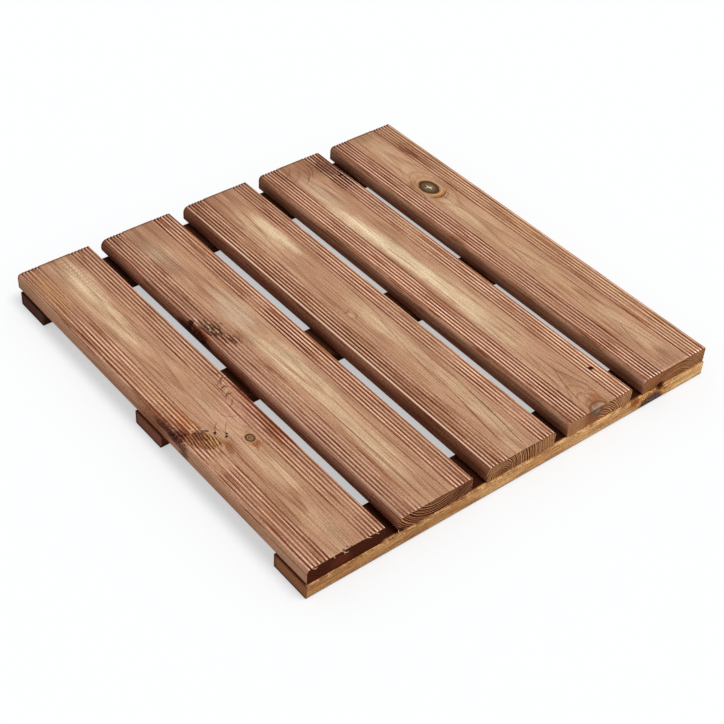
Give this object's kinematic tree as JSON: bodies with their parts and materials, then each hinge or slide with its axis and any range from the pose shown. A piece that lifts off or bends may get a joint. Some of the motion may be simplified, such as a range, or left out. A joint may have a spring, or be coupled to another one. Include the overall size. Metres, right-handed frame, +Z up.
{
  "type": "slatted deck tile",
  "caption": "Square wooden deck tile: grooved softwood slats stapled from below to cross bearers, with drain gaps between the slats.",
  "frame": {"origin": "on the ground, at the middle of the tile's underside", "axes": "+X across the slats towards slat_5, +Y along the slats from the front bearer to the back bearer, +Z up out of the walking face"},
  "size_m": [0.5, 0.5, 0.034],
  "materials": {
    "stained_slat_wood": "moulded softwood, stained brown, matt, with anti-slip grooves along both edges of the walking face",
    "stained_bearer_wood": "sawn softwood, stained honey brown, matt",
    "staple_wire": "zinc coated wire, dull"
  },
  "bodies": {
    "root": {"slat_1": "stained_slat_wood", "slat_2": "stained_slat_wood", "slat_3": "stained_slat_wood", "slat_4": "stained_slat_wood", "slat_5": "stained_slat_wood", "bearer_front": "stained_bearer_wood", "bearer_middle": "stained_bearer_wood", "bearer_back": "stained_bearer_wood", "staples_front": "staple_wire", "staples_middle": "staple_wire", "staples_back": "staple_wire"}
  },
  "joints": []
}
